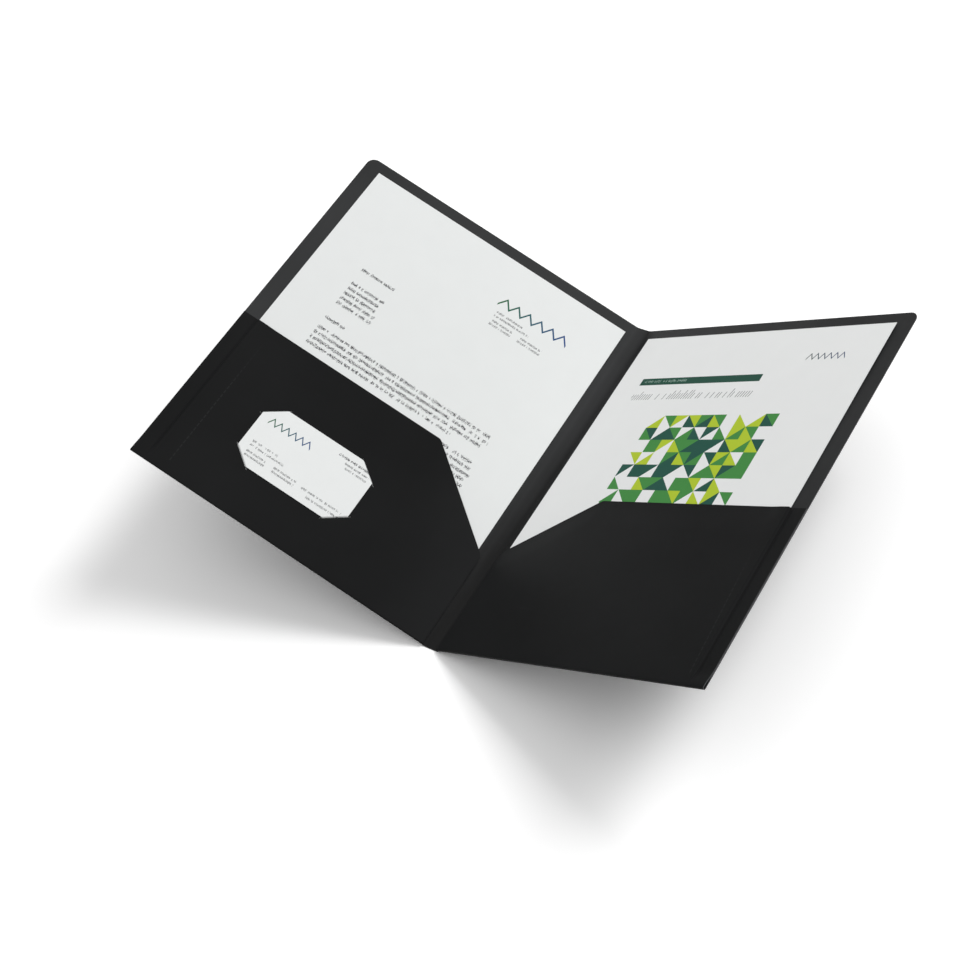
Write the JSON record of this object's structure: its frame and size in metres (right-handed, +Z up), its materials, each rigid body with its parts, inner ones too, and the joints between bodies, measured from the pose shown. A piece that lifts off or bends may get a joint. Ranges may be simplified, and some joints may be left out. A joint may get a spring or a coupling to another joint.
{
  "type": "two-pocket folder",
  "caption": "Plastic sheet folder standing open on its spine, with pockets folded up inside both covers that hold letter paper, and slits that hold a business card.",
  "frame": {"origin": "on the floor, in the middle of the spine's flat underside, which is the bottom centre of the whole folder", "axes": "+X towards the right cover, +Y along the spine towards the top edge of the folder, +Z up"},
  "size_m": [0.4272, 0.2946, 0.1084],
  "materials": {
    "folder_sheet": "satin",
    "paper": "matte",
    "card": "matte"
  },
  "bodies": {
    "spine": {"spine": "folder_sheet"},
    "left_cover": {"left_cover": "folder_sheet", "letter_sheet": "paper", "business_card": "card"},
    "right_cover": {"right_cover": "folder_sheet", "report_sheet": "paper"}
  },
  "joints": [
    {"name": "left_cover_hinge", "type": "hinge", "parent": "spine", "child": "left_cover", "pos_m": [-0.0049, 0, 0.00042], "axis": [0, 1, 0], "range_deg": [-27, 63]},
    {"name": "right_cover_hinge", "type": "hinge", "parent": "spine", "child": "right_cover", "pos_m": [0.0049, 0, 0.00042], "axis": [0, -1, 0], "range_deg": [-27, 63]}
  ]
}
